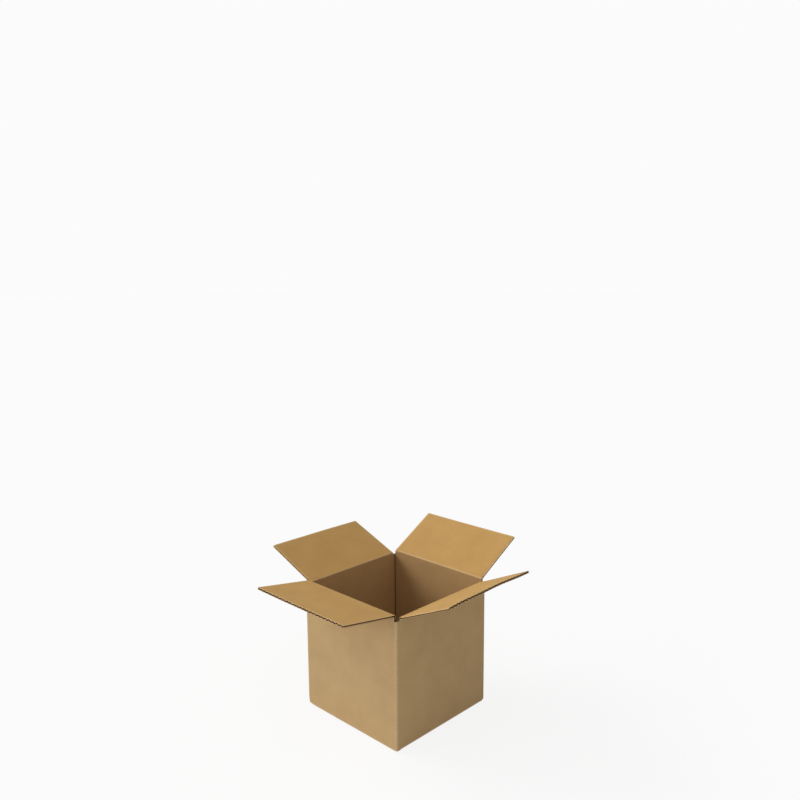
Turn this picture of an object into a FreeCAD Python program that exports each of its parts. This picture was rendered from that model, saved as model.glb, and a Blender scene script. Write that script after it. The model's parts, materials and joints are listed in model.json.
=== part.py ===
"""Open corrugated cardboard box: a regular slotted container with its bottom taped shut and its
four top flaps folded outwards.

Millimetres, +Z up, the origin at the centre of the base, on the floor. The front wall faces -Y
and the right wall +X. The front and rear flaps are the outer pair, which lies on top when the
box is shut. The left and right flaps are the inner pair, hinged lower by one board's thickness.
"""

import FreeCAD, Part
import math
import os
from FreeCAD import Vector

# The box, over its outer faces
box_length = 211.0          # along X, over the left and right walls
box_width = 211.0           # along Y, over the front and rear walls
box_height = 215.8          # from the board's underside to the crease of the front and rear flaps

# The board, C flute
board = 4.0                 # whole thickness
liner = 0.40                # each flat facing sheet
medium = 0.35               # the wavy sheet between the facings
flute_pitch = 8.0           # from one wave to the next
flute_flat = 1.0            # flat crest of a wave, where it is glued to a facing
flute_depth = 25.0          # how far in from a free edge the flutes are open

# Top flaps
outer_flap = 100.8          # front and rear flaps, from crease to free edge
layer_gap = 0.2             # between an outer flap and the inner flap under it, when shut
outer_flap_inset = 5.0      # from the box's corner plane to the side edge of an outer flap
inner_flap_inset = 8.5      # the same on an inner flap
fold_gap = 0.3              # between wall and flap along the mitred crease
front_angle = 80.0          # how far each flap leans out from upright, as it stands
rear_angle = 60.5
right_angle = 66.0
left_angle = 69.0

# Bottom flaps and the tape over their seam
bottom_outer_flap = 100.8   # from the front and rear walls, the layer underneath
tape_width = 60.0
tape_thickness = 0.2

# Corners, folds and the glued joint
corner_radius = 3.0         # outer radius of a folded corner
bottom_radius = 2.5         # outer radius where a wall turns into its bottom flap
slot_drop = 1.5             # how far a top corner slot runs past the crease of an inner flap
corner_foot = 1.5           # from the board's underside to the bottom of the walls' corners
tab_width = 35.0            # glue tab, on from the rear wall
tab_taper = 10.0            # how much shorter the tab is at its free edge, at each end
tab_clearance = 2.0         # from the tab's end to a shut inner flap
joint_step = 1.5            # the right wall's raw end stops this far inside the rear face

half_length = box_length / 2
half_width = box_width / 2
crease_step = board + layer_gap
outer_crease = box_height
inner_crease = box_height - crease_step
inner_flap = outer_flap + crease_step
slot_floor = inner_crease - slot_drop
outer_flap_width = box_length - 2 * outer_flap_inset
inner_flap_width = box_width - 2 * inner_flap_inset
overshoot = 1.0             # how far a cutting solid runs past the face it cuts
tall = 2 * box_height


def block(x0, x1, y0, y1, z0, z1):
    """A box between two corners."""
    return Part.makeBox(x1 - x0, y1 - y0, z1 - z0, Vector(x0, y0, z0))


def prism(points, travel):
    """A flat outline of points, drawn out along a vector."""
    outline = Part.makePolygon(points + [points[0]])
    return Part.Face(outline).extrude(travel)


def fold_cutter(radius, length):
    """What a rounded fold loses: a square bar along Z less its round.

    The fold's sharp corner is at the origin and the wall lies towards +X and +Y.
    """
    bar = block(-overshoot, radius, -overshoot, radius, 0, length)
    return bar.cut(Part.makeCylinder(radius, length, Vector(radius, radius, 0)))


def turned(shape, axis, degrees):
    """A copy of the shape, turned about an axis through the origin."""
    copy = shape.copy()
    copy.rotate(Vector(0, 0, 0), axis, degrees)
    return copy


def moved(shape, x, y, z):
    """A copy of the shape, moved."""
    copy = shape.copy()
    copy.translate(Vector(x, y, z))
    return copy


X = Vector(1, 0, 0)
Y = Vector(0, 1, 0)
Z = Vector(0, 0, 1)


def wall_ring():
    """The four walls, folded from one strip, standing between the bottom and top creases."""
    outside = block(-half_length, half_length, -half_width, half_width, 0, outer_crease)
    inside = block(
        -half_length + board, half_length - board,
        -half_width + board, half_width - board,
        -overshoot, outer_crease + overshoot,
    )
    return outside.cut(inside)


def corner_slots():
    """The corner slots of the blank, which part the flaps at the top and at the bottom."""
    slots = []
    for side_x in (-1, 1):
        for side_y in (-1, 1):
            face_x = (side_x * (half_length - board), side_x * (half_length + overshoot))
            face_y = (side_y * (half_width - board), side_y * (half_width + overshoot))
            outer_x = (side_x * outer_flap_width / 2, side_x * (half_length + overshoot))
            inner_y = (side_y * inner_flap_width / 2, side_y * (half_width + overshoot))
            for z0, z1 in ((slot_floor, tall), (-overshoot, corner_foot)):
                slots.append(block(*sorted(outer_x), *sorted(face_y), z0, z1))
                slots.append(block(*sorted(face_x), *sorted(inner_y), z0, z1))
    return slots


def crease_cutter(span):
    """What lies above a wall's mitred top: the wall's outer face is y = 0, its crease z = 0."""
    drop = fold_gap / 2 * math.sqrt(2)
    far = board + overshoot
    points = [
        Vector(-span, -far, far - drop),
        Vector(-span, far, -far - drop),
        Vector(-span, far, tall),
        Vector(-span, -far, tall),
    ]
    return prism(points, Vector(2 * span, 0, 0))


def top_mitres():
    """The 45 degree tops of the walls, on which the flaps turn."""
    cutters = []
    front_cut = moved(crease_cutter(half_length - board), 0, -half_width, outer_crease)
    side_cut = moved(crease_cutter(half_width - board), 0, -half_length, inner_crease)
    for turn in (0, 180):
        cutters.append(turned(front_cut, Z, turn))
    for turn in (90, 270):
        cutters.append(turned(side_cut, Z, turn))
    return cutters


def bottom_flaps():
    """The shut bottom: the outer pair underneath, and the inner pair that lies on it.

    The blank's edge is one straight cut, so the inner pair, which turns in one board higher up, is
    longer by that much.
    """
    x_in = outer_flap_width / 2
    y_in = inner_flap_width / 2
    outer_end = half_width - bottom_outer_flap
    inner_end = half_length - (bottom_outer_flap + board)
    return [
        block(-x_in, x_in, -half_width, -outer_end, 0, board),
        block(-x_in, x_in, outer_end, half_width, 0, board),
        block(-half_length, -inner_end, -y_in, y_in, board, 2 * board),
        block(inner_end, half_length, -y_in, y_in, board, 2 * board),
    ]


def glue_tab():
    """The tab on the end of the rear wall, turned in and glued to the inside of the right wall."""
    x0 = half_length - 2 * board
    y0 = half_width - board - tab_width
    y1 = half_width - board
    z0 = 2 * board + tab_clearance
    z1 = inner_crease - board - tab_clearance
    points = [
        Vector(x0, y1, z0),
        Vector(x0, y0, z0 + tab_taper),
        Vector(x0, y0, z1 - tab_taper),
        Vector(x0, y1, z1),
    ]
    return prism(points, Vector(board, 0, 0))


def bottom_folds():
    """What the rounded folds lose where each wall turns into its bottom flap."""
    cutters = []
    for width, reach, height, turns in (
        (outer_flap_width, half_width, 0, (0, 180)),
        (inner_flap_width, half_length, board, (90, 270)),
    ):
        # laid along X, with the wall and its flap towards +Y and +Z
        fold = turned(turned(fold_cutter(bottom_radius, width), Y, 90), X, 90)
        fold = moved(fold, -width / 2, -reach, height)
        for turn in turns:
            cutters.append(turned(fold, Z, turn))
    return cutters


def box_body():
    """Walls, bottom flaps and glue tab: one blank, folded and glued shut."""
    body = wall_ring()
    body = body.cut(corner_slots() + top_mitres())

    # between the corners, the left and right walls end one board above the underside
    reach_y = inner_flap_width / 2
    inner_x = half_length - board
    outer_x = half_length + overshoot
    under_left = block(-outer_x, -inner_x, -reach_y, reach_y, -overshoot, board)
    under_right = block(inner_x, outer_x, -reach_y, reach_y, -overshoot, board)
    body = body.cut([under_left, under_right])
    body = body.fuse(bottom_flaps() + [glue_tab()])

    # three corners are folds, and the fourth is the joint, where the rear wall turns in to the tab
    corner = moved(fold_cutter(corner_radius, tall), 0, 0, -overshoot)
    raw_end_y = half_width - joint_step
    raw_end = block(inner_x, outer_x, raw_end_y, half_width + overshoot, -overshoot, tall)
    body = body.cut([
        moved(corner, -half_length, -half_width, 0),
        moved(turned(corner, Z, 90), half_length, -half_width, 0),
        moved(turned(corner, Z, 270), -half_length, half_width, 0),
        raw_end,
        moved(turned(corner, Z, 180), inner_x, half_width, 0),
    ])
    return body.cut(bottom_folds()).removeSplitter()


def flute_channels(width, length):
    """The open flutes at the free edge of a flap that stands upright along X, outer face y = 0.

    The wavy sheet leaves a trapezoid channel above each valley and below each crest.
    """
    floor = liner
    roof = board - liner
    run = flute_pitch / 2 - flute_flat
    rise = roof - floor - medium
    spread = medium * run / rise
    slant = medium * math.hypot(run, rise) / rise
    wide = flute_pitch - flute_flat + spread - slant
    narrow = flute_flat + spread - slant
    count = int((width - 2 * flute_flat) / flute_pitch)
    start = -(count - 1) / 2 * flute_pitch
    z0 = length - flute_depth
    travel = Vector(0, 0, flute_depth + overshoot)
    channels = []
    for i in range(count):
        middle = start + i * flute_pitch
        channels.append(prism([
            Vector(middle - wide / 2, roof, z0),
            Vector(middle + wide / 2, roof, z0),
            Vector(middle + narrow / 2, floor + medium, z0),
            Vector(middle - narrow / 2, floor + medium, z0),
        ], travel))
    for i in range(count - 1):
        middle = start + (i + 0.5) * flute_pitch
        channels.append(prism([
            Vector(middle - wide / 2, floor, z0),
            Vector(middle - narrow / 2, roof - medium, z0),
            Vector(middle + narrow / 2, roof - medium, z0),
            Vector(middle + wide / 2, floor, z0),
        ], travel))
    return channels


def flap(width, length):
    """A top flap standing upright: its crease along X through the origin, outer face y = 0."""
    lift = fold_gap / 2 * math.sqrt(2)
    points = [
        Vector(-width / 2, 0, lift),
        Vector(-width / 2, board, board + lift),
        Vector(-width / 2, board, length),
        Vector(-width / 2, 0, length),
    ]
    sheet = prism(points, Vector(width, 0, 0))
    return sheet.cut(flute_channels(width, length))


def placed_flap(width, length, angle, turn, reach, crease):
    """A flap leant out by its angle, then turned to its wall and set on its crease."""
    leant = turned(flap(width, length), X, angle)
    return turned(moved(leant, 0, -reach, crease), Z, turn)


def bottom_tape():
    """A strip of paper tape on the underside, over the seam between the outer bottom flaps."""
    reach = outer_flap_width / 2
    return block(-reach, reach, -tape_width / 2, tape_width / 2, -tape_thickness, 0)


nodes = {
    "box_body": box_body(),
    "bottom_tape": bottom_tape(),
    "front_flap": placed_flap(outer_flap_width, outer_flap, front_angle, 0, half_width, outer_crease),
    "right_flap": placed_flap(inner_flap_width, inner_flap, right_angle, 90, half_length, inner_crease),
    "rear_flap": placed_flap(outer_flap_width, outer_flap, rear_angle, 180, half_width, outer_crease),
    "left_flap": placed_flap(inner_flap_width, inner_flap, left_angle, 270, half_length, inner_crease),
}

os.makedirs("parts", exist_ok=True)
for name, shape in nodes.items():
    # the tape lies on the floor, and the board stands on the tape
    shape = moved(shape, 0, 0, tape_thickness)
    shape.exportStep("parts/" + name + ".step")
    box = shape.BoundBox
    print(name, shape.isValid(), len(shape.Solids), "solid,", round(shape.Volume), "mm3,",
          "x", round(box.XMin, 2), round(box.XMax, 2),
          "y", round(box.YMin, 2), round(box.YMax, 2),
          "z", round(box.ZMin, 2), round(box.ZMax, 2))
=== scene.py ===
import json
import math

import bmesh
import bpy
from mathutils import Matrix, Vector, noise


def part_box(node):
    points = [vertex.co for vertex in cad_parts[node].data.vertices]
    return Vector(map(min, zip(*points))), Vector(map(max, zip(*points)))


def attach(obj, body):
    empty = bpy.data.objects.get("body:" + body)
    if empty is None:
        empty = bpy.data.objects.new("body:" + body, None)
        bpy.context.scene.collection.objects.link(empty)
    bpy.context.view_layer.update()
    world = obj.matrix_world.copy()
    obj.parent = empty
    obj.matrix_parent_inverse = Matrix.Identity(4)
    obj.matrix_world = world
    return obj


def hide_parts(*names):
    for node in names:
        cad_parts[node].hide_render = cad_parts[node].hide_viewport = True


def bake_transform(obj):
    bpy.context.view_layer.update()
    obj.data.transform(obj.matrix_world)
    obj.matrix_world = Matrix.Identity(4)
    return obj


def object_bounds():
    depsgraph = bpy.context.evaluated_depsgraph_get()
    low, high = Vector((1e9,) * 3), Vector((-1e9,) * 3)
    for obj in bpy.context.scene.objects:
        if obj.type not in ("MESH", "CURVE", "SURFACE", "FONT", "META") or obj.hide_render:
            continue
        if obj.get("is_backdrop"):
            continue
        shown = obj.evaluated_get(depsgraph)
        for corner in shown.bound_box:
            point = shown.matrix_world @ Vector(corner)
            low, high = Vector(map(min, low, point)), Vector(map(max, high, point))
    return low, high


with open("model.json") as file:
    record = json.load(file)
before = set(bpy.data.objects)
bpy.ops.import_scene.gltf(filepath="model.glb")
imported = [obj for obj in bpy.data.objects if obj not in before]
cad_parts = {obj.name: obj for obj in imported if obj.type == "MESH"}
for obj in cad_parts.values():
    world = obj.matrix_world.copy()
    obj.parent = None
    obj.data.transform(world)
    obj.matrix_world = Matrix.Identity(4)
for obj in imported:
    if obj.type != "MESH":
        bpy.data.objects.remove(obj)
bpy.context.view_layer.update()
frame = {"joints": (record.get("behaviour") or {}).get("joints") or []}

# The box: four walls, four bottom flaps and the glue tab, all of one blank of corrugated board.
# The board is two flat sheets of kraft paper with a wavy sheet glued between them. It is die cut,
# creased, folded to a square tube, glued at one corner and folded shut at the bottom.

board = 0.004
facing = 0.0004                       # each flat sheet
flute_paper = 0.0006                  # the wavy sheet
flute_pitch = 0.008
body_low, body_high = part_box("box_body")
side = body_high.x - body_low.x
half_side = side / 2
underside = body_low.z
hinges = {joint["child"]: joint for joint in frame["joints"]}
outer_crease = hinges["front_flap"]["pos_m"][2] - underside
inner_crease = hinges["right_flap"]["pos_m"][2] - underside
outer_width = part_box("front_flap")[1].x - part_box("front_flap")[0].x
inner_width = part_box("right_flap")[1].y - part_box("right_flap")[0].y
bottom_flap = 0.1008                  # how far the front and rear bottom flaps reach in
corner_round = 0.003                  # outer radius of a folded corner
bottom_round = 0.0025                 # outer radius of a bottom fold
pleat = 0.0017                        # the inner sheet is nipped into a groove inside each upright fold
pleat_reach = 0.0013
slot_end = inner_crease - 0.0015      # where the top corner slots end
corner_foot = 0.0018                  # where the bottom corner slots end
side_foot = 0.0048                    # and on the side walls, whose bottom folds are one board higher
corner_post = 0.0034                  # how far each side of an upright fold both end at corner_foot
sink = 0.0030                         # the higher folds have rolled down beside the flaps below them
sink_reach = 0.018
slit = 0.0003                         # the cut that parts a corner from the bottom fold beside it
tab_reach = 0.039                     # glue tab, from the rear face to its free edge
tab_ends = (0.010, 0.2055)
tab_taper = 0.010
joint_step = 0.0015                   # the right wall's raw end stops short of the rear face
outer_gap = 0.0014                    # how far from a top crease's line each flat or wavy sheet ends,
flute_gap = 0.0038                    # where the crease itself takes over
inner_gap = 0.0045
wall_bow = 0.0008                     # how far a wall bulges, at its middle
bow_ripple = 0.5                      # how much that comes and goes over the wall
bow_detail = 14
wall_apart = 40                       # keeps two walls from rippling alike
dent = 0.0012                         # the bottom corner at the left was set down hard once
dent_reach = 0.008
dent_push = Vector((0.6, 0.6, 0.5))   # inwards and up


def fold_half(radius):
    """Half the length of a right-angled fold, along the outer face."""
    return radius * math.pi / 4


def folded(past, radius, depth, groove=0.0):
    """A point of the board near a right-angled fold, seen from the panel it is on.

    past is how far back it is from the middle of the fold, along the outer face. The result is its
    distance from the other panel's outer face, and from its own.
    """
    half = fold_half(radius)
    if past >= half:
        away = max(radius + past - half, depth)
        nip = groove * (depth / board) ** 2 * max(0.0, 1 - (away - depth) / pleat_reach)
        return (away - nip if away == depth else away), depth - nip
    turn = math.radians(45) * (half - past) / half
    outer = Vector((radius - radius * math.sin(turn), radius - radius * math.cos(turn)))
    spot = outer.lerp(Vector((board, board)), depth / board)
    nip = groove * (depth / board) ** 2
    return spot.x - nip, spot.y - nip


def smooth(share):
    """The share between 0 and 1, eased at both ends."""
    share = min(1.0, max(0.0, share))
    return share * share * (3 - 2 * share)


class Panel:
    """One wall of the folded tube: its stretch of the blank and its place on the box."""

    def __init__(self, start, middle, along, width, top, bottom, flap_width, folds, flap_shift=0.0):
        self.start = start
        self.end = start + width - 2 * corner_round + 2 * fold_half(corner_round)
        self.centre = (self.start + self.end) / 2
        self.middle = Vector(middle)
        self.along = Vector(along)
        self.inward = Vector((-self.along.y, self.along.x, 0))
        self.width = width
        self.top = top
        self.bottom = bottom
        self.bottom_fold = bottom + bottom_round - fold_half(bottom_round)
        self.flap_width = flap_width
        self.folds = folds
        self.flap_middle = self.centre + flap_shift

    def flap_end(self):
        """Where on the blank the bottom flap's free edge is."""
        reach = bottom_flap + self.bottom
        return self.bottom_fold - (reach - bottom_round + fold_half(bottom_round))

    def beside_flap(self, u):
        """How far a point lies outside the flap's side edges, along the blank."""
        return abs(u - self.flap_middle) - self.flap_width / 2

    def sunk(self, u, inset, height):
        """How far the foot of a wall with a higher bottom fold has rolled down."""
        beside = smooth((board - inset) / (board - bottom_round))
        along = smooth(min(abs(u - self.start), abs(u - self.end)) / corner_post)
        under = max(0.0, min(1.0, (height - corner_foot) / (side_foot - corner_foot)))
        above = 1 - smooth((height - self.bottom - bottom_round) / sink_reach)
        return sink * beside * along * under * above

    def point(self, u, v, depth):
        """Where a point of the blank lies on the folded box."""
        across = u - self.centre
        inset = depth
        if across > 0 and self.folds[1]:
            away, inset = folded(self.end - u, corner_round, depth, pleat)
            across = self.width / 2 - away
        elif across < 0 and self.folds[0]:
            away, inset = folded(u - self.start, corner_round, depth, pleat)
            across = away - self.width / 2
        height = v
        if self.beside_flap(u) < slit / 2:
            past = v - self.bottom_fold
            if past >= 0:
                height, inset = folded(past, bottom_round, depth)
            else:
                inset, height = folded(-past, bottom_round, depth)
            height += self.bottom
        if self.bottom:
            height -= self.sunk(u, inset, height)
        swell = max(0.0, 1 - (2 * across / side) ** 2) * max(0.0, 1 - (2 * v / self.top - 1) ** 2)
        ripple = noise.noise(self.middle * wall_apart + Vector((u * bow_detail, v * bow_detail, 0)))
        if v > self.bottom_fold:
            inset -= swell * wall_bow * (1 + bow_ripple * ripple)
        upright = Vector((0, 0, underside + height))
        spot = self.middle + self.along * across + self.inward * inset + upright
        knocked = spot - Vector((-half_side, -half_side, underside))
        pushed = dent * math.exp(-(knocked.length / dent_reach) ** 2)
        return spot + dent_push * pushed


rear_width = side - board
tab_start = -(side - 2 * corner_round + 2 * fold_half(corner_round))
tab = Panel(tab_start, (half_side - board, 0, 0), (0, 1, 0), side, 1, 0, 0, (False, True))
rear = Panel(0, (-board / 2, half_side, 0), (-1, 0, 0), rear_width, outer_crease, 0, outer_width,
             (True, True), flap_shift=-board / 2)
left = Panel(rear.end, (-half_side, 0, 0), (0, -1, 0), side, inner_crease, board, inner_width,
             (True, True))
front = Panel(left.end, (0, -half_side, 0), (1, 0, 0), side, outer_crease, 0, outer_width,
              (True, True))
right = Panel(front.end, (half_side, 0, 0), (0, 1, 0), side, inner_crease, board, inner_width,
              (True, False))
walls = [rear, left, front, right]
tab_edge = -(tab_reach - corner_round + fold_half(corner_round))
raw_end = right.centre + half_side - joint_step


def panel_at(u):
    """The panel that a place on the blank belongs to."""
    if u < 0:
        return tab
    for panel in walls:
        if u <= panel.end:
            return panel
    return right


def on_blank(u, v, gap):
    """Whether a place is board, and not a slot, a top crease or past the blank's edge."""
    panel = panel_at(u)
    if panel is tab:
        return u > tab_edge and tab_ends[0] < v < tab_ends[1]
    if u > raw_end:
        return False
    outside = panel.beside_flap(u)
    if outside < 0:
        return panel.flap_end() < v < panel.top - gap
    if outside < slit:
        return panel.bottom + bottom_round + slit < v < min(slot_end, panel.top - inner_gap)
    near_start = panel.folds[0] and u - panel.start < corner_post
    near_end = panel.folds[1] and panel.end - u < corner_post
    raised = panel.bottom and not (near_start or near_end)
    return (side_foot if raised else corner_foot) < v < slot_end


def lines_between(start, end, step):
    """Evenly spaced values from start to end, no further apart than step."""
    count = max(1, math.ceil((end - start) / step))
    return [start + (end - start) * i / count for i in range(count + 1)]


# Lines on the blank where its sheets are cut into faces: some where knives cut it, some where it
# bends, and the rest so that its flat parts can bulge.
fold_steps = (0, 0.0008, 0.0016, 0.0024, corner_post, 0.0037, 0.0041, 0.0047, 0.007, 0.012)
wall_step = 0.018                     # how far apart the flat of a wall is cut into faces
wall_margin = 0.012
bottom_step = 0.03                    # and the flat of a bottom flap
bottom_margin = 0.006
gaps = (outer_gap, flute_gap, inner_gap)
cut_u = {tab_edge, raw_end}
cut_v = {corner_foot, side_foot, slot_end, *tab_ends}
bend_u = set()
bend_v = set()
for panel in walls:
    cut_u.update((panel.start - corner_post, panel.start, panel.start + corner_post))
    for edge in (-1, 1):
        cut_u.add(panel.flap_middle + edge * panel.flap_width / 2)
        cut_u.add(panel.flap_middle + edge * (panel.flap_width / 2 + slit))
    cut_v.update((panel.flap_end(), panel.bottom + bottom_round + slit))
    cut_v.update(panel.top - gap for gap in gaps)
    for step in fold_steps:
        bend_u.update((panel.start - step, panel.start + step))
    bend_u.update(lines_between(panel.start, panel.end, wall_step))
    bend_v.update(panel.bottom_fold + i * fold_half(bottom_round) / 2 for i in range(-2, 3))
rows = lines_between(wall_margin, inner_crease - wall_margin, wall_step)
rows += lines_between(right.flap_end(), -bottom_margin, bottom_step)


def flat_sheet(u_lines, v_lines, columns=1):
    """A flat sheet over the whole of the lines, cut into faces along each of them."""
    sheet = bmesh.new()
    bmesh.ops.create_grid(sheet, x_segments=columns, y_segments=1, size=0.5)
    u0, u1 = min(u_lines), max(u_lines)
    v0, v1 = min(v_lines), max(v_lines)
    bmesh.ops.scale(sheet, vec=(u1 - u0, v1 - v0, 1), verts=sheet.verts)
    bmesh.ops.translate(sheet, vec=((u0 + u1) / 2, (v0 + v1) / 2, 0), verts=sheet.verts)
    for normal, lines in (((1, 0, 0), u_lines), ((0, 1, 0), v_lines)):
        for line in sorted(lines):
            bmesh.ops.bisect_plane(
                sheet, geom=sheet.verts[:] + sheet.edges[:] + sheet.faces[:], dist=1e-6,
                plane_co=Vector(normal) * line, plane_no=normal,
            )
    return sheet


def trim(sheet, keep, gap):
    """Cuts away each face whose middle isn't on the blank."""
    spare = [f for f in sheet.faces if not keep(*f.calc_center_median().xy, gap)]
    bmesh.ops.delete(sheet, geom=spare, context="FACES")


def thicken(sheet, thickness, top, bottom, edge):
    """Gives a flat sheet its thickness, and a material for its top, its underside and its cut edge."""
    bmesh.ops.recalc_face_normals(sheet, faces=sheet.faces)
    up = sum(f.normal.z * f.calc_area() for f in sheet.faces)
    if up < 0:
        bmesh.ops.reverse_faces(sheet, faces=sheet.faces)
    bmesh.ops.solidify(sheet, geom=sheet.faces[:], thickness=thickness)
    bmesh.ops.recalc_face_normals(sheet, faces=sheet.faces)
    for face in sheet.faces:
        if abs(face.normal.z) < 0.2:
            face.material_index = edge
        else:
            face.material_index = top if face.normal.z > 0 else bottom


def lay(sheet, height):
    """Sets the sheet's lowest point at a depth of the board."""
    low = min(v.co.z for v in sheet.verts)
    bmesh.ops.translate(sheet, vec=(0, 0, height - low), verts=sheet.verts)


outer_face, inner_face, fluting, torn_edge = range(4)
wave_steps = 8                        # faces across one flute
glue_line = 0.00006                   # starch between a crest and the flat sheet that it carries
crest_cut = 1.25                      # its crests are pressed flat, from a wave this much taller


def flute_wave(u):
    """The height of the wavy sheet's underside at a place across the flutes."""
    travel = board - 2 * facing - flute_paper - 2 * glue_line
    crest = crest_cut * math.sin(2 * math.pi * u / flute_pitch)
    return facing + glue_line + travel * (0.5 + 0.5 * max(-1.0, min(1.0, crest)))


def board_sheets(u_lines, v_lines, knife_lines, keep):
    """The three flat sheets of a piece of board: outer facing, wavy sheet and inner facing."""
    outer = flat_sheet(u_lines, v_lines)
    inner = outer.copy()
    trim(outer, keep, outer_gap)
    thicken(outer, facing, fluting, outer_face, torn_edge)
    lay(outer, 0)
    trim(inner, keep, inner_gap)
    thicken(inner, facing, inner_face, fluting, torn_edge)
    lay(inner, board - facing)
    reach = max(u_lines) - min(u_lines)
    columns = round(reach / flute_pitch * wave_steps)
    wavy = flat_sheet(knife_lines, v_lines, columns)
    trim(wavy, keep, flute_gap)
    thicken(wavy, flute_paper, fluting, fluting, torn_edge)
    lay(wavy, 0)
    for vert in wavy.verts:
        vert.co.z += flute_wave(vert.co.x)
    return [outer, wavy, inner]


def finish_board(name, sheets, place, wear_and_highlight, materials):
    """Joins flat sheets to a piece, each point moved to its place and given its share of wear and of
    painted highlight.

    The point's place on the flat blank stays as its UV, which the paper's pattern follows.
    """
    joined = bmesh.new()
    for sheet in sheets:
        part = bpy.data.meshes.new("sheet")
        sheet.to_mesh(part)
        joined.from_mesh(part)
        bpy.data.meshes.remove(part)
        sheet.free()
    blank = joined.loops.layers.uv.new("blank")
    for face in joined.faces:
        for loop in face.loops:
            loop[blank].uv = loop.vert.co.xy
    crease = joined.verts.layers.float.new("crease")
    for vert in joined.verts:
        vert[crease] = wear_and_highlight(vert.co.x, vert.co.y)
        vert.co = place(*vert.co)
    bmesh.ops.remove_doubles(joined, verts=joined.verts, dist=2e-6)
    mesh = bpy.data.meshes.new(name)
    joined.to_mesh(mesh)
    joined.free()
    for material in materials:
        mesh.materials.append(material)
    mesh.shade_flat()
    piece = bpy.data.objects.new(name, mesh)
    bpy.context.scene.collection.objects.link(piece)
    return piece


def tone(red, green, blue):
    """A colour given as a paint chart does, from 0 to 255, in the linear light that nodes use."""
    def linear(value):
        value /= 255
        return value / 12.92 if value <= 0.04045 else ((value + 0.055) / 1.055) ** 2.4
    return (linear(red), linear(green), linear(blue), 1)


def link(tree, source, target):
    tree.links.new(source, target)


# Kraft paper has long fibres that lie mostly along the web, across the flutes, with darker flecks
# and a faint cloud of thick and thin. The flutes show through it as shallow ribs.

fibre_tone = 0.55                     # how much each pattern counts in the paper's tone
grain_tone = 0.25
cloud_tone = 0.27
rib_tone = 0.12
fibre_relief = 0.35                   # and in its relief
grain_relief = 0.25
rough_swing = 0.08                    # its palest spots are this much smoother, its darkest rougher


def make_kraft_group():
    group = bpy.data.node_groups.new("kraft_paper", "ShaderNodeTree")
    face = group.interface
    face.new_socket("Blank", in_out="INPUT", socket_type="NodeSocketVector")
    face.new_socket("Fleck", in_out="INPUT", socket_type="NodeSocketFloat")
    face.new_socket("Ribs", in_out="INPUT", socket_type="NodeSocketFloat")
    face.new_socket("Tone", in_out="OUTPUT", socket_type="NodeSocketFloat")
    face.new_socket("Height", in_out="OUTPUT", socket_type="NodeSocketFloat")
    nodes = group.nodes
    inside = nodes.new("NodeGroupInput")
    outside = nodes.new("NodeGroupOutput")

    def pattern(scale, detail, stretch=(1, 1, 1)):
        mapping = nodes.new("ShaderNodeMapping")
        mapping.inputs["Scale"].default_value = stretch
        texture = nodes.new("ShaderNodeTexNoise")
        texture.inputs["Scale"].default_value = scale
        texture.inputs["Detail"].default_value = detail
        link(group, inside.outputs["Blank"], mapping.inputs["Vector"])
        link(group, mapping.outputs["Vector"], texture.inputs["Vector"])
        return texture.outputs[0]

    def math_node(operation, a, b):
        node = nodes.new("ShaderNodeMath")
        node.operation = operation
        for socket, value in zip(node.inputs, (a, b)):
            if isinstance(value, (int, float)):
                socket.default_value = value
            else:
                link(group, value, socket)
        return node.outputs[0]

    fibres = pattern(420, 5, (1, 3.2, 1))
    grain = pattern(1500, 3, (1, 1.6, 1))
    clouds = pattern(26, 5)
    specks = pattern(700, 2)
    dark = nodes.new("ShaderNodeMapRange")
    dark.inputs["From Min"].default_value = 0.60
    dark.inputs["From Max"].default_value = 0.72
    link(group, specks, dark.inputs["Value"])
    ribs = nodes.new("ShaderNodeTexWave")
    ribs.wave_type = "BANDS"
    ribs.bands_direction = "X"
    ribs.inputs["Scale"].default_value = 2 * math.pi / flute_pitch / 20    # one band to a flute
    ribs.inputs["Distortion"].default_value = 0.6
    ribs.inputs["Detail"].default_value = 1
    ribs.inputs["Detail Scale"].default_value = 0.4
    link(group, inside.outputs["Blank"], ribs.inputs["Vector"])

    soft = math_node("MULTIPLY", fibres, fibre_tone)
    fine = math_node("MULTIPLY", grain, grain_tone)
    wide = math_node("MULTIPLY", clouds, cloud_tone)
    rib = math_node("MULTIPLY", ribs.outputs["Fac"], inside.outputs["Ribs"])
    fleck = math_node("MULTIPLY", dark.outputs["Result"], inside.outputs["Fleck"])
    total = math_node("ADD", math_node("ADD", soft, fine), wide)
    total = math_node("ADD", total, math_node("MULTIPLY", rib, rib_tone))
    total = math_node("SUBTRACT", total, fleck)
    link(group, total, outside.inputs["Tone"])
    relief = math_node("MULTIPLY", fibres, fibre_relief)
    relief = math_node("ADD", relief, math_node("MULTIPLY", grain, grain_relief))
    relief = math_node("ADD", relief, rib)
    link(group, relief, outside.inputs["Height"])
    return group


kraft_group = make_kraft_group()


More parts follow.
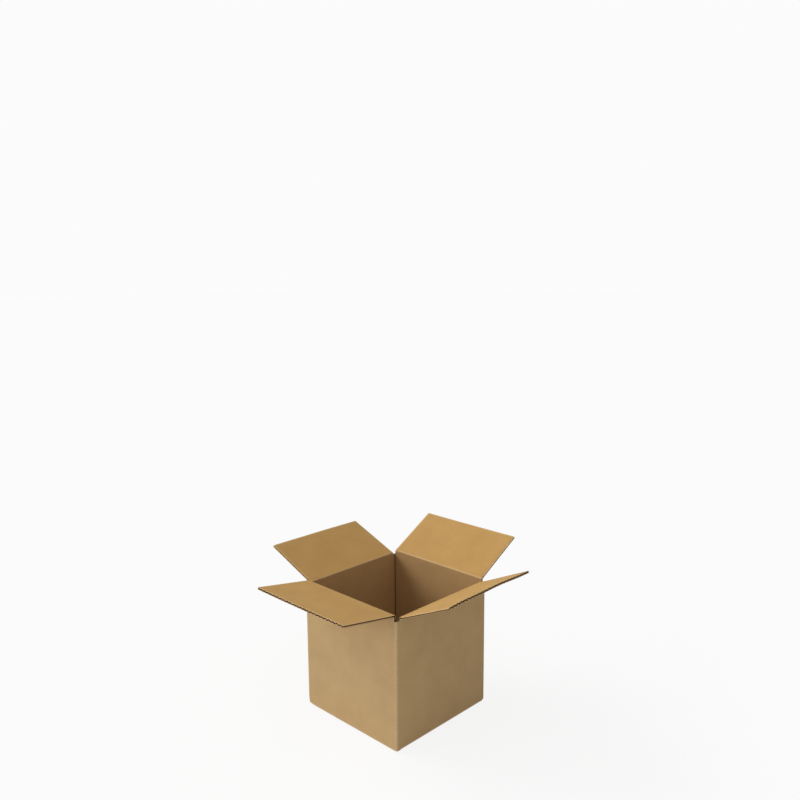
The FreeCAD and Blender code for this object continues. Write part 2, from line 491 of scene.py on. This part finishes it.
def kraft(name, dark, pale, wear_and_highlight_tone, fleck, ribs, relief, roughness):
    """A kraft paper: its darkest and palest tone, and the pale tone where a crease has worn it, which
    the inner creases also take as a painted highlight.
    """
    material = bpy.data.materials.new(name)
    material.use_nodes = True
    tree = material.node_tree
    nodes = tree.nodes
    shader = nodes["Principled BSDF"]
    blank = nodes.new("ShaderNodeUVMap")
    blank.uv_map = "blank"
    paper = nodes.new("ShaderNodeGroup")
    paper.node_tree = kraft_group
    paper.inputs["Fleck"].default_value = fleck
    paper.inputs["Ribs"].default_value = ribs
    link(tree, blank.outputs["UV"], paper.inputs["Blank"])
    ramp = nodes.new("ShaderNodeValToRGB")
    ramp.color_ramp.elements[0].position = 0.30
    ramp.color_ramp.elements[0].color = dark
    ramp.color_ramp.elements[1].position = 0.72
    ramp.color_ramp.elements[1].color = pale
    link(tree, paper.outputs["Tone"], ramp.inputs["Fac"])
    # The crease attribute gives the share of wear, and along the inner creases the share of painted
    # highlight.
    crease = nodes.new("ShaderNodeAttribute")
    crease.attribute_name = "crease"
    patch_noise = nodes.new("ShaderNodeTexNoise")
    patch_noise.inputs["Scale"].default_value = 330
    patch_noise.inputs["Detail"].default_value = 5
    link(tree, blank.outputs["UV"], patch_noise.inputs["Vector"])
    patchiness = nodes.new("ShaderNodeMapRange")
    patchiness.inputs["From Min"].default_value = 0.30
    patchiness.inputs["From Max"].default_value = 0.70
    patchiness.inputs["To Min"].default_value = 0.15
    patchiness.inputs["To Max"].default_value = 0.75
    link(tree, patch_noise.outputs["Fac"], patchiness.inputs["Value"])
    wear_and_highlight = nodes.new("ShaderNodeMath")
    wear_and_highlight.operation = "MULTIPLY"
    link(tree, patchiness.outputs["Result"], wear_and_highlight.inputs[0])
    link(tree, crease.outputs["Fac"], wear_and_highlight.inputs[1])
    mix = nodes.new("ShaderNodeMix")
    mix.data_type = "RGBA"
    link(tree, wear_and_highlight.outputs[0], mix.inputs["Factor"])
    link(tree, ramp.outputs["Color"], mix.inputs["A"])
    mix.inputs["B"].default_value = wear_and_highlight_tone
    link(tree, mix.outputs["Result"], shader.inputs["Base Color"])
    rough = nodes.new("ShaderNodeMapRange")
    rough.inputs["To Min"].default_value = roughness + rough_swing
    rough.inputs["To Max"].default_value = roughness - rough_swing
    link(tree, paper.outputs["Tone"], rough.inputs["Value"])
    link(tree, rough.outputs["Result"], shader.inputs["Roughness"])
    shader.inputs["Specular IOR Level"].default_value = 0.25
    bump = nodes.new("ShaderNodeBump")
    bump.inputs["Strength"].default_value = 1.0
    bump.inputs["Distance"].default_value = relief
    link(tree, paper.outputs["Height"], bump.inputs["Height"])
    link(tree, bump.outputs["Normal"], shader.inputs["Normal"])
    return material


outer_kraft = kraft("outer_kraft", tone(168, 138, 95), tone(196, 165, 119), tone(216, 190, 150),
                    fleck=0.16, ribs=0.22, relief=0.00012, roughness=0.78)
# The inner kraft's third tone is the pale of rubbed edges and also the painted highlight along the
# inner creases.
inner_kraft = kraft("inner_kraft", tone(171, 130, 71), tone(198, 157, 93), tone(238, 208, 162),
                    fleck=0.12, ribs=0.10, relief=0.00010, roughness=0.72)
# The wavy sheet and the flat sheets' hidden sides: the paper's own brown, also painted darker to stand
# in for the shade in the flute hollows.
flute_kraft = kraft("flute_kraft", tone(86, 54, 27), tone(118, 80, 44), tone(126, 88, 50),
                    fleck=0.15, ribs=0.0, relief=0.00010, roughness=0.85)
torn_kraft = kraft("torn_kraft", tone(192, 154, 106), tone(226, 192, 144), tone(228, 196, 150),
                   fleck=0.1, ribs=0.0, relief=0.00015, roughness=0.9)
# A darker, greyer copy of the inner kraft for the inside walls. This is painted shade for the dimmer
# light inside the box, on the same paper as the flaps' inner side. Its third tone is the pale of rubbed
# folds and the painted highlight along the creases.
wall_kraft = kraft("wall_kraft", tone(161, 127, 83), tone(187, 152, 105), tone(196, 164, 118),
                   fleck=0.12, ribs=0.10, relief=0.00010, roughness=0.75)
board_papers = [outer_kraft, inner_kraft, flute_kraft, torn_kraft]
shell_papers = [outer_kraft, wall_kraft, flute_kraft, torn_kraft]
fold_wear_width = 0.0022              # how far from a fold the paper is rubbed pale


def tapered(u, v):
    """The height on the blank, with the glue tab's ends tapered towards its free edge."""
    if u >= 0:
        return v
    middle = sum(tab_ends) / 2
    full = tab_ends[1] - tab_ends[0]
    return middle + (v - middle) * (1 - 2 * tab_taper / full * u / tab_edge)


def body_place(u, v, depth):
    return panel_at(u).point(u, tapered(u, v), depth)


def body_wear(u, v):
    """How near a point is to a fold, from 1 on it to 0."""
    gap = min(abs(u - panel.start) for panel in walls)
    panel = panel_at(u)
    if panel is not tab and panel.beside_flap(u) < slit / 2:
        gap = min(gap, abs(v - panel.bottom_fold))
    return math.exp(-(gap / fold_wear_width) ** 2)


body_u = cut_u | {u for u in bend_u if tab_edge < u < raw_end}
body_v = cut_v | bend_v | set(rows)
sheets = board_sheets(body_u, body_v, cut_u, on_blank)
box_shell = finish_board("box_shell", sheets, body_place, body_wear, shell_papers)
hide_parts("box_body")
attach(box_shell, "box")

# The top flaps belong to the same blank. Each leans out from its wall, and its free edge shows the
# flutes. Knives leave the edges a little pinched, and no flap is quite flat. The outer two bend
# outwards and the inner two inwards, so they still lie clear of each other when they are shut.

flap_looks = {
    "front_flap": {"panel": front, "bend": -0.0006, "twist": 0.6, "pinch": 0.05},
    "rear_flap": {"panel": rear, "bend": -0.0010, "twist": -0.5, "pinch": 0.40},
    "left_flap": {"panel": left, "bend": 0.0012, "twist": 0.6, "pinch": 0.35},
    "right_flap": {"panel": right, "bend": 0.0034, "twist": 0.4, "pinch": 0.50},
}


class Hinge:
    """The line that a top flap turns on, and how far it leans out as it stands."""

    def __init__(self, name, panel):
        joint = hinges[name]
        self.pivot = Vector(joint["pos_m"])
        self.along = panel.along
        self.outward = -panel.inward
        self.lean = math.radians(-joint["range_deg"][0] - 90)

    def turned(self, across, up, depth, lean):
        """A point of a panel that stands on the line, leant out by an angle."""
        rise = self.outward * math.sin(lean) + Vector((0, 0, math.cos(lean)))
        face = self.outward * -math.cos(lean) + Vector((0, 0, math.sin(lean)))
        return self.pivot + self.along * across + rise * up + face * depth


edge_steps = (0.0012, 0.0025, 0.0038, 0.005)    # lines beside a side edge, so that it can be pinched
free_steps = (0.0012, 0.003)          # and beside the free edge, which runs across the flutes
free_pinch = 0.08
free_pinch_reach = 0.0025
top_step = 0.016                      # how far apart the flat of a flap is cut into faces
top_margin = 0.012
arch_share = 0.5                      # how much of a flap's bend is an arch across it,
lift_share = 0.8                      # a lift that is higher at one corner,
ripple_share = 0.25                   # and a slow ripple
ripple_detail = 22
ripple_seed = 3.0
edge_wear = 0.6                       # how much the cut edges are rubbed pale
edge_wear_width = 0.0016


def pressed(look, across, up):
    """How far the knives have pressed the board together beside a flap's side edges, from 0 to 1."""
    beside = abs(across) - look["panel"].flap_width / 2 + edge_steps[-1]
    return look["pinch"] * smooth(beside / edge_steps[-1]) * smooth((up + inner_gap) / (2 * inner_gap))


def squeezed(depth, share):
    """A depth of the board, drawn this share of the way to its middle."""
    return board / 2 + (depth - board / 2) * (1 - share)


for name, look in flap_looks.items():
    panel = look["panel"]
    hinge = Hinge(name, panel)
    low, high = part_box(name)
    corners = [Vector((x, y, 0)) for x in (low.x, high.x) for y in (low.y, high.y)]
    reach = max((corner - hinge.pivot).dot(hinge.outward) for corner in corners)
    length = reach / math.sin(hinge.lean)
    width = panel.flap_width

    def in_flap(u, v, gap):
        return v > panel.top + gap

    def place_flap(u, v, depth):
        across = u - panel.flap_middle
        up = v - panel.top
        pinch = free_pinch * smooth((up - length + free_pinch_reach) / free_pinch_reach)
        depth = squeezed(depth, max(pinch, pressed(look, across, up)))
        share = smooth((up - inner_gap) / length)
        arch = 1 - (2 * across / width) ** 2
        lift = (1 + look["twist"] * 2 * across / width) / 2
        ripple = noise.noise(Vector((u * ripple_detail, v * ripple_detail, ripple_seed)))
        shape = arch_share * arch + lift_share * lift + ripple_share * ripple
        bend = look["bend"] * share * max(0.0, shape)
        return hinge.turned(across, up, depth + bend, hinge.lean)

    def flap_wear(u, v):
        edge = min(panel.top + length - v, width / 2 - abs(u - panel.flap_middle))
        return edge_wear * math.exp(-(max(0.0, edge) / edge_wear_width) ** 2)

    left_edge = panel.flap_middle - width / 2
    right_edge = panel.flap_middle + width / 2
    free_edge = panel.top + length
    flap_u = set(lines_between(left_edge, right_edge, top_step))
    for step in edge_steps:
        flap_u |= {left_edge + step, right_edge - step}
    flap_v = {panel.top + gap for gap in gaps}
    flap_v |= set(lines_between(panel.top + top_margin, free_edge, top_step))
    flap_v |= {free_edge - step for step in free_steps}
    sheets = board_sheets(flap_u, flap_v, {left_edge, right_edge}, in_flap)
    piece = finish_board(name + "_board", sheets, place_flap, flap_wear, board_papers)
    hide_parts(name)
    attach(piece, name)

# Each top crease is a line pressed into the board before folding. The outer sheet bends along it.
# The inner one bridges the board's thickness.

crushed = 0.0011                      # the outer sheet with the wavy one pressed flat against it
tuck = 0.003                          # how far each end of a crease runs on inside the board
slip = 0.0003                         # how far past the bend it has thinned to half, to slip in there
crease_step = 0.012
outer_parts = 4                       # faces across each half of a bend
inner_parts = 9
round_share = 0.24                    # how much of the inner sheet's bridge is rounded
outer_ridge_wear = 0.8
# The inner sheet's ridge gets a narrow pale line painted along it: a painted highlight where the bend
# catches the light.
inner_ridge_highlight = 1.3
inner_highlight_width = 0.0007
shaded_wall_face = 4
bridge_papers = [*board_papers, wall_kraft]


def crease_lines(gap, parts, end):
    """Lines across a crease: even ones where it bends, and two at each end inside the board."""
    return [-end, -gap - slip, *lines_between(-gap, gap, gap / parts), gap + slip, end]


def thinned(depth, middle):
    """A depth of a crease's end, which is half as thick as the rest."""
    return middle + (depth - middle) / 2


for name, look in flap_looks.items():
    panel = look["panel"]
    hinge = Hinge(name, panel)
    width = panel.flap_width
    left_edge = panel.flap_middle - width / 2
    crease_u = set(lines_between(left_edge, left_edge + width, crease_step))
    for step in edge_steps:
        crease_u |= {left_edge + step, left_edge + width - step}

    strip = flat_sheet(crease_u, crease_lines(outer_gap, outer_parts, tuck))
    thicken(strip, crushed, fluting, outer_face, torn_edge)
    lay(strip, 0)

    def place_outer(u, t, depth):
        if abs(t) > outer_gap + slip / 2:
            depth = thinned(depth, crushed / 2)
        lean = hinge.lean * smooth((t + outer_gap) / (2 * outer_gap))
        across = u - panel.flap_middle
        return hinge.turned(across, t, squeezed(depth, pressed(look, across, t)), lean)

    def outer_wear(u, t):
        return outer_ridge_wear

    piece = finish_board(name.replace("flap", "crease"), [strip], place_outer, outer_wear, board_papers)
    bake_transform(piece)

    strip = flat_sheet(crease_u, crease_lines(inner_gap, inner_parts, inner_gap + tuck))
    thicken(strip, facing, inner_face, fluting, torn_edge)
    # The wall's half of the inner crease takes the painted-shade copy of the inner kraft.
    for face in strip.faces:
        if face.material_index == inner_face and face.calc_center_median().y < 0:
            face.material_index = shaded_wall_face
    lay(strip, board - facing)
    rise = board * math.tan(hinge.lean / 2)

    def bridge(across, t, depth):
        """A point of the inner sheet, which runs on from the wall's face to the flap's."""
        if t < -inner_gap:
            return hinge.turned(across, t, depth, 0)
        if t > inner_gap:
            return hinge.turned(across, t, depth, hinge.lean)
        up = t + rise * (1 + t / inner_gap) if t < 0 else t - rise * (1 - t / inner_gap)
        return hinge.turned(across, up, depth, 0 if t < 0 else hinge.lean)

    def place_inner(u, t, depth):
        across = u - panel.flap_middle
        if abs(t) > inner_gap + slip / 2:
            depth = thinned(depth, board - facing / 2)
        depth = squeezed(depth, pressed(look, across, t))
        reach = inner_gap * round_share
        if abs(t) >= reach:
            return bridge(across, t, depth)
        share = (t + reach) / (2 * reach)
        first, last = bridge(across, -reach, depth), bridge(across, reach, depth)
        corner = hinge.turned(across, depth * math.tan(hinge.lean / 2), depth, 0)
        return first.lerp(corner, share).lerp(corner.lerp(last, share), share)

    # A painted highlight along the ridge of the inner sheet's bend, strongest on the ridge itself.
    def inner_highlight(u, t):
        return inner_ridge_highlight * math.exp(-(t / inner_highlight_width) ** 2)

    inner_name = name.replace("flap", "inner_crease")
    piece = finish_board(inner_name, [strip], place_inner, inner_highlight, bridge_papers)
    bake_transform(piece)

# Paper tape over the bottom seam. It is pulled off a roll and torn against a toothed blade, which
# leaves both ends in small points.

tape_low, tape_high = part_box("bottom_tape")
tooth = 0.0015
tooth_depth = 0.7 * tooth
tape_step = 0.02
tape_lines = lines_between(tape_low.y, tape_high.y, tooth / 2)
tape_u = {tape_low.x, tape_high.x, tape_low.x + tooth, tape_high.x - tooth}
tape_u |= set(lines_between(tape_low.x + tape_step / 2, tape_high.x - tape_step / 2, tape_step))
strip = flat_sheet(tape_u, tape_lines)
for vert in strip.verts:
    row = round((vert.co.y - tape_low.y) / (tape_lines[1] - tape_lines[0]))
    if abs(vert.co.x) > tape_high.x - 1e-5 and row % 2:
        vert.co.x -= math.copysign(tooth_depth, vert.co.x)
thicken(strip, tape_high.z - tape_low.z, 0, 0, 0)
lay(strip, tape_low.z)
tape_kraft = kraft("tape_kraft", tone(146, 106, 62), tone(178, 136, 86), tone(190, 150, 100),
                   fleck=0.1, ribs=0.0, relief=0.00005, roughness=0.5)


def tape_place(x, y, z):
    return Vector((x, y, z))


def tape_wear(x, y):
    return 0.0


tape = finish_board("seam_tape", [strip], tape_place, tape_wear, [tape_kraft])
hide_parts("bottom_tape")
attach(tape, "box")

# A white sweep under the box, lit by two broad windows on the left, one of them low, by a weaker
# light from above on the right, and by a pale surround. The eye and gloss see both sweep and
# surround brighter than the light that they throw on the box.

sweep_glow = 0.85                     # how white the sweep looks
surround_seen = 0.97                  # how white the surround looks
surround_thrown = 0.46                # and how much light it throws


def seen_directly(tree):
    """1 for a ray from the camera or from a glossy surface, and 0 for the light on the box."""
    rays = tree.nodes.new("ShaderNodeLightPath")
    seen = tree.nodes.new("ShaderNodeMath")
    seen.operation = "MAXIMUM"
    link(tree, rays.outputs["Is Camera Ray"], seen.inputs[0])
    link(tree, rays.outputs["Is Glossy Ray"], seen.inputs[1])
    return seen.outputs[0]


floor_mesh = bpy.data.meshes.new("floor")
floor_build = bmesh.new()
bmesh.ops.create_grid(floor_build, x_segments=1, y_segments=1, size=20)
floor_build.to_mesh(floor_mesh)
floor_build.free()
floor = bpy.data.objects.new("floor", floor_mesh)
bpy.context.scene.collection.objects.link(floor)
floor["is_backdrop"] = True
paper_white = bpy.data.materials.new("white_sweep")
paper_white.use_nodes = True
tree = paper_white.node_tree
shader = tree.nodes["Principled BSDF"]
shader.inputs["Base Color"].default_value = (0.86, 0.86, 0.86, 1)
shader.inputs["Roughness"].default_value = 0.9
shader.inputs["Specular IOR Level"].default_value = 0.0
glow = tree.nodes.new("ShaderNodeEmission")
glow_share = tree.nodes.new("ShaderNodeMath")
glow_share.operation = "MULTIPLY"
glow_share.inputs[1].default_value = sweep_glow
link(tree, seen_directly(tree), glow_share.inputs[0])
both = tree.nodes.new("ShaderNodeMixShader")
link(tree, glow_share.outputs[0], both.inputs["Fac"])
link(tree, shader.outputs["BSDF"], both.inputs[1])
link(tree, glow.outputs["Emission"], both.inputs[2])
link(tree, both.outputs["Shader"], tree.nodes["Material Output"].inputs["Surface"])
floor_mesh.materials.append(paper_white)

world = bpy.data.worlds.new("surround")
bpy.context.scene.world = world
world.use_nodes = True
tree = world.node_tree
sky = tree.nodes["Background"]
sky.inputs["Color"].default_value = (1, 1, 1, 1)
surround_light = tree.nodes.new("ShaderNodeMapRange")
surround_light.inputs["To Min"].default_value = surround_thrown
surround_light.inputs["To Max"].default_value = surround_seen
link(tree, seen_directly(tree), surround_light.inputs["Value"])
link(tree, surround_light.outputs["Result"], sky.inputs["Strength"])

# Each lamp's name, its bearing and height in degrees, its strength and how wide it looks.
windows = (
    ("low_window", -30, 12, 1.08, 40),
    ("high_window", -70, 38, 1.36, 30),
    ("roof_light", 60, 62, 0.30, 40),
)
for name, turn, height, strength, spread_angle in windows:
    lamp = bpy.data.lights.new(name, "SUN")
    lamp.energy = strength
    lamp.angle = math.radians(spread_angle)
    holder = bpy.data.objects.new(name, lamp)
    bpy.context.scene.collection.objects.link(holder)
    turn, height = math.radians(turn), math.radians(height)
    flat = math.cos(height)
    towards = Vector((math.sin(turn) * flat, -math.cos(turn) * flat, math.sin(height)))
    holder.rotation_euler = (-towards).to_track_quat("-Z", "Y").to_euler()

# The camera stands a step back from the box's front corner, with its lens at table height above the
# floor, and looks down a little.

photo_size = 800
focal_pixels = 813.9
camera_turn = math.radians(44.40)
camera_back = 1.28545
camera_aside = 0.00965
camera_height = 0.72913
camera_tilt = math.radians(9.235)
camera_roll = math.radians(-0.388)
lens = bpy.data.cameras.new("camera")
lens.sensor_width = 36
lens.lens = focal_pixels / photo_size * lens.sensor_width
camera = bpy.data.objects.new("camera", lens)
bpy.context.scene.collection.objects.link(camera)
looking = Vector((0, math.cos(camera_tilt), -math.sin(camera_tilt)))
level_right = Vector((1, 0, 0))
level_up = level_right.cross(looking)
right_hand = level_right * math.cos(camera_roll) + level_up * math.sin(camera_roll)
up_hand = level_up * math.cos(camera_roll) - level_right * math.sin(camera_roll)
stand = Matrix((right_hand, up_hand, -looking)).transposed().to_4x4()
stand.translation = (camera_aside, -camera_back, camera_height)
camera.matrix_world = Matrix.Rotation(camera_turn, 4, "Z") @ stand
bpy.context.scene.camera = camera
bpy.context.scene.view_settings.view_transform = "Standard"

low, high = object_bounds()
